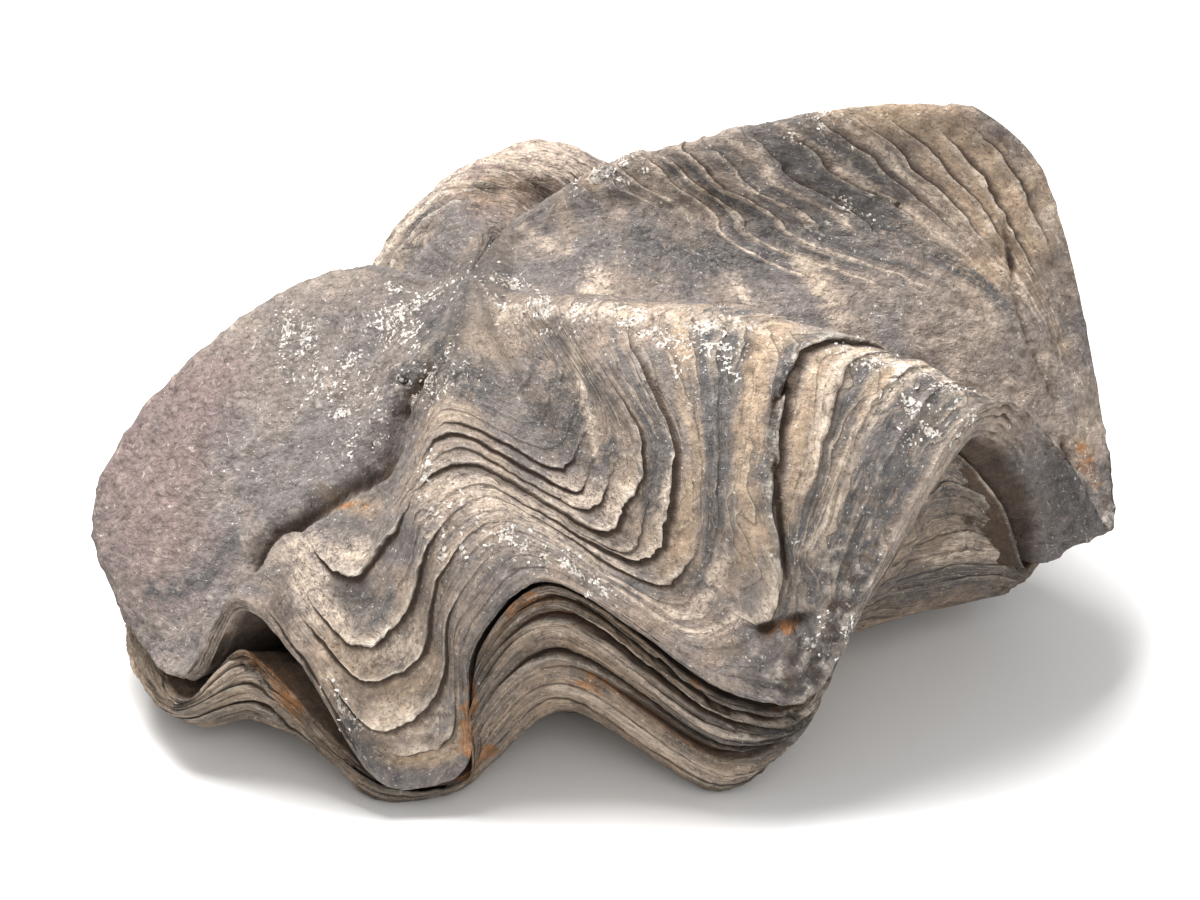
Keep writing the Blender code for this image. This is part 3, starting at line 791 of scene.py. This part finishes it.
def grain_tree(material):
    """Geometry Nodes that set small crystals on a skin where its mark called grit says."""
    tree = bpy.data.node_groups.new("crystal_grains", "GeometryNodeTree")
    tree.interface.new_socket("Geometry", in_out="INPUT", socket_type="NodeSocketGeometry")
    for name, kind in (("Grains per square metre", "NodeSocketFloat"), ("Grain size", "NodeSocketFloat"),
                       ("Seed", "NodeSocketInt")):
        tree.interface.new_socket(name, in_out="INPUT", socket_type=kind)
    tree.interface.new_socket("Geometry", in_out="OUTPUT", socket_type="NodeSocketGeometry")

    def step(kind, settings, values):
        return add_node(tree, kind, settings, values).outputs

    given = step("NodeGroupInput", {}, {})
    grit = step("GeometryNodeInputNamedAttribute", {"data_type": "FLOAT"}, {"Name": "grit"})
    thick = step("ShaderNodeMath", {"operation": "MULTIPLY"},
                 {0: grit["Attribute"], 1: given["Grains per square metre"]})
    points = step("GeometryNodeDistributePointsOnFaces", {"distribute_method": "RANDOM"},
                  {"Mesh": given["Geometry"], "Density": thick[0], "Seed": given["Seed"]})
    crystal = step("GeometryNodeMeshIcoSphere", {}, {"Radius": given["Grain size"], "Subdivisions": 1})
    turned = step("FunctionNodeRandomValue", {"data_type": "FLOAT_VECTOR"},
                  {"Max": (math.tau, math.tau, math.tau), "Seed": given["Seed"]})
    sized = step("FunctionNodeRandomValue", {"data_type": "FLOAT_VECTOR"},
                 {"Min": (0.6, 0.4, 0.25), "Max": (2.3, 1.3, 0.7), "Seed": given["Seed"]})
    grains = step("GeometryNodeInstanceOnPoints", {},
                  {"Points": points["Points"], "Instance": crystal["Mesh"],
                   "Rotation": turned["Value"], "Scale": sized["Value"]})
    real = step("GeometryNodeRealizeInstances", {}, {"Geometry": grains["Instances"]})
    coloured = step("GeometryNodeSetMaterial", {}, {"Geometry": real["Geometry"], "Material": material})
    step("NodeGroupOutput", {}, {"Geometry": coloured["Geometry"]})
    return tree


def crystal_finish():
    """White to cream calcite, dull with a slight gloss."""
    finish = Finish("white_calcite")
    shade = finish.mottle(finish.place(), 260, 2)
    colour = finish.blend((0.42, 0.37, 0.31), (0.86, 0.83, 0.78), finish.between(shade, 0.35, 0.6))
    relief = finish.mottle(finish.place(), 1500, 2)
    return finish.finished(colour, 0.45 + 0.3 * shade, relief, 0.4, GRAIN_BUMP)


carrier = placed("grain_carrier", upper_valve.data)
scatter = carrier.modifiers.new("crystal_grains", "NODES")
scatter.node_group = grain_tree(crystal_finish())
grain_inputs = {"Grains per square metre": GRAINS_PER_SQUARE_METRE, "Grain size": GRAIN_SIZE,
                "Seed": GRAIN_SEED}
for item in scatter.node_group.interface.items_tree:
    if item.name in grain_inputs:
        scatter[item.identifier] = type(item.default_value)(grain_inputs[item.name])
evaluated = carrier.evaluated_get(bpy.context.evaluated_depsgraph_get())
grain_mesh = bpy.data.meshes.new_from_object(evaluated)
carrier.modifiers.clear()
bpy.data.objects.remove(carrier)
crystal_grains = placed("crystal_grains", grain_mesh)
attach(crystal_grains, "root")


# The lower valve is the other half of the shell, cemented down in life by a flat scar on its underside.
# Its margin fits the upper valve's zigzag, and its wall, seen below it, is a stack of thin calcite
# sheets with dark slits between them, stained by rust where water ran out.

# For each rib of the upper valve: the free edge, halfway down the wall, and where the wall turns under
LOWER_WALLS = (
    ((-132, -48, 28), (-136, -49, 20), (-129, -46, 4)), ((-117, -79, 24), (-120, -78, 20), (-114, -66, 7)),
    ((-100, -83, 43), (-97, -82, 31), (-98, -72, 13)), ((-93, -84, 37), (-88, -85, 23), (-82, -78, 8)),
    ((-59, -98, 8), (-59, -102, 9), (-62, -94, 0)), ((-36, -97, 12), (-37, -98, 10), (-40, -89, 0)),
    ((-33, -95, 50), (-35, -98, 27), (-31, -90, 9)), ((-15, -89, 67), (-14, -93, 48), (-11, -80, 21)),
    ((35, -94, 34), (36, -99, 20), (34, -89, 0)), ((54, -87, 28), (55, -90, 21), (49, -82, 10)),
    ((74, -73, 59), (71, -66, 45), (72, -48, 28)), ((95, -50, 88), (100, -34, 45), (96, -24, 21)),
    ((114, -37, 66), (120, -22, 38), (115, -8, 16)), ((127, -18, 32), (129, -8, 24), (124, 4, 13)),
    ((138, 18, 66), (138, 20, 42), (118, 30, 12)), ((129, 39, 115), (131, 40, 70), (116, 44, 14)),
    ((120, 45, 132), (122, 48, 80), (112, 52, 18)), ((105, 45, 142), (112, 58, 88), (108, 58, 20)),
    ((108, 79, 74), (108, 86, 45), (100, 78, 14)), ((76, 90, 38), (78, 98, 20), (70, 88, 0)),
    ((23, 94, 59), (24, 99, 38), (22, 88, 12)), ((-6, 96, 71), (-4, 100, 44), (-4, 88, 16)),
    ((-50, 91, 57), (-52, 94, 34), (-48, 84, 10)), ((-89, 74, 32), (-94, 80, 18), (-86, 72, 0)),
    ((-112, 56, 42), (-116, 58, 28), (-106, 52, 12)), ((-127, 23, 27), (-134, 24, 14), (-122, 22, 4)),
    ((-138, -18, 30), (-138, -20, 16), (-126, -14, 7)),
)
LOWER_COLUMNS = 700
LOWER_LEDGES = (
    (0.12, ((8.2, 1.2, 0.3, 0),)),
    (0.27, ((2, 1, 0.7, 0), (12, 1, 0.5, 0.02))),
    (0.4, ((8.6, 1, 0.5, 0.02), (11.5, 0.9, 0.5, 0))),
    (0.52, ((7.5, 1, 1.1, -0.02), (2, 0.8, 0.5, 0))),
    (0.62, ((12, 1, 0.7, 0), (9, 0.8, 0.5, 0))),
    (0.71, ((8.4, 0.9, 0.8, 0.01), (5, 1.5, 0.6, 0))),
    (0.79, ((7.9, 1.4, 1.2, -0.01), (2.2, 0.8, 0.8, 0))),
    (0.855, ((8.8, 1, 1, 0), (11.8, 0.8, 0.6, 0))),
    (0.905, ((8.2, 1.5, 1.1, 0), (2.2, 0.9, 1, 0))),
    (0.955, ((8.5, 1.3, 0.8, 0), (1.2, 0.8, 0.5, 0))),
    (1, ()),
)
LOWER_LEDGE_ROWS = (0.08, 0.35, 0.6, 0.85, 1.0)
LOWER_LEDGE_HEIGHT = 2.8
LOWER_LEDGE_UNDERCUT = 0.012
LOWER_LEDGE_SLIT = 4.5
LOWER_PLAIN_LEDGES = 0.5

# Under the second arch the sheets part into broad lumps and deep slits: places across the layers, from
# foot to margin, and how far the wall stands out there in millimetres
SLIT_SPAN = (8.5, 1.3, 6)
SLIT_LAYERS = (0, 0.05, 0.28, 0.34, 0.40, 0.50, 0.58, 0.63, 0.755, 0.775, 0.825, 0.84, 0.87, 0.882, 0.938,
               0.95, 1)
SLIT_STEPS = (0, 1.5, 2.2, 1.5, -4.5, -3.5, -0.5, 1.8, 1.8, -6, -6, 1.2, 1.2, -7, -6.5, 0.6, 0.6)

# Stretches of ribs: the first arch, whose outer sheets lie tight, and the crumbled wall under the
# third. Where the shell gapes, its top is hollowed by some millimetres.
FIRST_ARCH = (2.4, 0.9)
FIRST_ARCH_LAYER = 0.82
CRUMBLED = (11.6, 1.7)
GAPE_HOLLOW = ((2.1, 0.85, 10.0), (11.6, 1.0, 5.0))
MEETING_ROWS = (0.35, 0.6, 0.74, 0.82, 0.87, 0.91, 0.935, 0.955, 0.97, 0.98, 0.99, 0.995)
MEETING_GAP = 2.0
LOW_MEETING_PLACE = np.array(MEETING_PLACE) - (0, 0, MEETING_GAP)
SCAR_RADII = (60, 42)
SCAR_CENTRE = (-5, -4)
UNDER_ROWS = 14
RUST = (
    (7, (-40, -98, 44), (-38, -100, 30), (-38, -100, 16)), (5, (-10, -91, 36), (-4, -91, 34)),
    (11, (-98, -84, 40), (-93, -85, 35), (-90, -86, 29)), (7, (48, -90, 30), (56, -87, 30)),
    (7, (-39, -96, 12), (-32, -94, 14)), (5, (-29, -93, 62), (-20, -91, 64)),
    (5, (25, -94, 41), (34, -95, 38)),
)
RUST_STRIPES = (
    (0.905, 0.05, 2.7, 0.8), (0.8, 0.016, 7.6, 0.8), (0.91, 0.02, 7, 0.7), (0.91, 0.02, 9, 0.8),
    (0.42, 0.03, 7.6, 0.5),
)
PALE_STRIPES = (
    (0.985, 0.025, 2.4, 1.1), (0.79, 0.06, 2.2, 0.9), (0.6, 0.06, 2, 0.9), (0.85, 0.02, 8, 1.3),
    (0.95, 0.02, 8, 1.3), (0.7, 0.05, 7.6, 1), (0.22, 0.07, 7.8, 0.9), (0.5, 0.1, 11.6, 0.8),
)
OLIVE = (
    (14, (22, -99, 30), (38, -98, 22), (52, -92, 20)), (22, (80, -50, 40), (110, -30, 30)),
    (26, (93, -49, 78), (106, -40, 68), (120, -26, 46)),
)
PALE_SHEETS = (
    (6, (107, -40, 71), (112, -37, 69)), (5, (-95, -83, 44), (-90, -84, 39), (-86, -86, 33)),
    (8, (-105, -82, 37), (-101, -85, 32), (-99, -85, 26)), (5, (-30, -100, 14), (-20, -99, 22)),
)
LOWER_CRACKS = ((3, (87, -69, 81), (104, -35, 57), (111, -30, 49), (116, -25, 42)),)


def lower_valve_places():
    """The grid of places of the lower valve, from where the valves meet down to the scar, and its marks."""
    walls = np.array(LOWER_WALLS, dtype=float)
    columns = even_columns(walls, LOWER_COLUMNS)
    margin = ring(walls[:, 0], columns)
    meeting_rows = np.array(MEETING_ROWS)[:, None]
    top = LOW_MEETING_PLACE + (margin - LOW_MEETING_PLACE) * meeting_rows[..., None]
    top[-7:, :, 2] += 0.5 * rough(top[-7:], 5, 24)
    inward = 1 - meeting_rows
    for middle, half, depth in GAPE_HOLLOW:
        bay = stretch(columns, middle, half)
        top[..., 2] -= depth * bay * np.clip(inward / 0.2, 0, 1) * np.clip((1 - inward) / 0.6, 0, 1)

    ways, layers, heights, edges, hollows = (rows[::-1] for rows in ledge_rows(
        LOWER_LEDGES, LOWER_LEDGE_ROWS, columns, LOWER_LEDGE_HEIGHT, LOWER_LEDGE_UNDERCUT,
        LOWER_LEDGE_SLIT, 0, np.ones_like, LOWER_PLAIN_LEDGES, 0, 300))
    wall = surface(walls, 1 - np.clip(ways, 0, 1), columns)
    away = (wall - LOW_MEETING_PLACE) * (1, 1, 0.25)
    away /= np.linalg.norm(away, axis=-1, keepdims=True)
    growth = bedding(layers + 1, columns)
    relief = heights + 0.5 * rough(wall, 3, 22) + 0.9 * rough(growth * (34, 1.6, 1.6), 1, 25, 3)
    proud = standing_proud(relief)
    crumbled = stretch(columns, *CRUMBLED)
    slit_share = stretch(columns, *SLIT_SPAN)
    tight = stretch(columns, *FIRST_ARCH) * np.clip((layers - FIRST_ARCH_LAYER) / 0.03, 0, 1)
    # Painted shade in the slits under the ledges, less where the sheets lie tight, crumble or part into
    # lumps, and in the deep slits under the second arch
    hollows = hollows * (1 - 0.9 * tight) * (1 - 0.6 * crumbled - 0.5 * slit_share)
    strayed = layers + 0.022 * rough_round(columns, 1.3, 340) + 0.008 * rough(wall, 7, 27)
    steps = np.interp(strayed, SLIT_LAYERS, SLIT_STEPS) * slit_share
    hollows = np.maximum(hollows, np.clip(-steps / 5, 0, 1))
    wall = wall + away * steps[..., None]
    wall = wall + away * (relief * (1 - 0.55 * crumbled) - 0.7 + (0.7 + 2.2 * crumbled) * rough(wall, 14, 21)
                          + (0.3 + 0.9 * crumbled) * rough(wall, 5, 26))[..., None]

    foot = wall[-1]
    turn = np.arctan2(foot[:, 1] - SCAR_CENTRE[1], foot[:, 0] - SCAR_CENTRE[0])
    scar = np.stack([SCAR_CENTRE[0] + SCAR_RADII[0] * np.cos(turn),
                     SCAR_CENTRE[1] + SCAR_RADII[1] * np.sin(turn), np.zeros_like(turn)], axis=1)
    under_rows = np.arange(1, UNDER_ROWS + 1)[:, None] / UNDER_ROWS
    under = foot + (scar - foot) * under_rows[..., None]
    under[:-1, :, 2] += 0.8 * rough(under[:-1], 9, 23)

    places = np.concatenate([top, wall, under])
    places[..., 2] = np.maximum(places[..., 2], 0)
    flat = np.ones_like(columns)
    all_ways = np.concatenate([(1.4 - 0.5 * meeting_rows) * flat, layers + 1, (2 + 0.5 * under_rows) * flat])
    place_round = np.broadcast_to(columns, all_ways.shape)
    # Painted shade on the top going in to where the valves meet; the hollow mark below also paints shade in
    # the cracks
    inside = np.clip(inward * 40, 0, 0.9) * flat
    no_top = 0 * meeting_rows * flat
    no_under = 0 * under_rows * flat
    rust = striped(all_ways - 1, place_round, RUST_STRIPES, 34)
    cream = striped(all_ways - 1, place_round, PALE_STRIPES, 35)
    marks = {
        "bedding": bedding(all_ways, place_round),
        "lined": np.full_like(all_ways, 0.75),
        "edge": np.concatenate([no_top, edges, no_under]),
        "hollow": np.maximum(np.concatenate([inside, hollows, no_under]), near(places, LOWER_CRACKS, 0.25)),
        "proud": np.concatenate([no_top, proud, no_under]),
        "slate": near(places, OLIVE, 0.4, 32),
        "rust": np.maximum(rust, near(places, RUST, 0.4, 31)),
        "cream": np.maximum(cream, near(places, PALE_SHEETS, 0.4, 33)),
    }
    marks.update(dict.fromkeys(("worn", "rose", "ochre", "grit"), np.zeros_like(all_ways)))
    return places, marks


lower_places, lower_marks = lower_valve_places()
lower_stone = weathered_stone("lower_valve_limestone", warm=(0.38, 0.278, 0.195), cool=(0.205, 0.168, 0.137),
                              shadow=(0.06, 0.034, 0.018), line_rate=110, step_rate=30)
lower_valve = skin("lower_valve_skin", lower_places, LOW_MEETING_PLACE, (*SCAR_CENTRE, 0), lower_marks,
                   lower_stone)
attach(lower_valve, "root")
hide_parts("lower_valve")


# A plain pale table under soft studio light, seen from the front and a little above. None of this is
# part of the shell.

floor_half = 4.0
floor_mesh = bpy.data.meshes.new("pale_table")
floor_mesh.from_pydata([(-floor_half, -floor_half, 0), (floor_half, -floor_half, 0),
                        (floor_half, floor_half, 0), (-floor_half, floor_half, 0)], [], [(0, 1, 2, 3)])
table_finish = Finish("pale_table_paint")
table_finish.shader.inputs["Base Color"].default_value = (0.86, 0.86, 0.86, 1)
table_finish.shader.inputs["Roughness"].default_value = 0.9
floor_mesh.materials.append(table_finish.material)
placed("pale_table", floor_mesh)

bpy.context.scene.view_settings.view_transform = "Standard"

sky = bpy.data.worlds.new("soft_room")
sky.use_nodes = True
sky.node_tree.nodes["Background"].inputs["Color"].default_value = (1, 1, 1, 1)
sky.node_tree.nodes["Background"].inputs["Strength"].default_value = 0.6
bpy.context.scene.world = sky


SHELL_MIDDLE = Vector((0, 0, 0.06))


def soft_light(name, place, size, power, colour):
    """A square soft box that shines from place to the middle of the shell."""
    lamp = bpy.data.lights.new(name, "AREA")
    lamp.shape = "SQUARE"
    lamp.size = size
    lamp.energy = power
    lamp.color = colour
    holder = placed(name, lamp)
    holder.location = place
    holder.rotation_euler = (SHELL_MIDDLE - Vector(place)).to_track_quat("-Z", "Y").to_euler()


soft_light("overhead_soft_box", (-0.25, 0.15, 1.1), 0.6, 26, (1, 0.985, 0.97))
soft_light("front_soft_box", (0.3, -1.2, 0.9), 0.9, 6, (1, 0.99, 0.98))

VIEW_ELEVATION = math.radians(28)
VIEW_DISTANCE = 1.1
VIEW_TARGET = Vector((-0.002, -0.008, 0.066))
lens = bpy.data.cameras.new("viewer")
lens.sensor_width = 36
lens.lens = 113.01
viewer = placed("viewer", lens)
back = Vector((0, -math.cos(VIEW_ELEVATION), math.sin(VIEW_ELEVATION)))
viewer.location = VIEW_TARGET + back * VIEW_DISTANCE
viewer.rotation_euler = (-back).to_track_quat("-Z", "Y").to_euler()
bpy.context.scene.camera = viewer
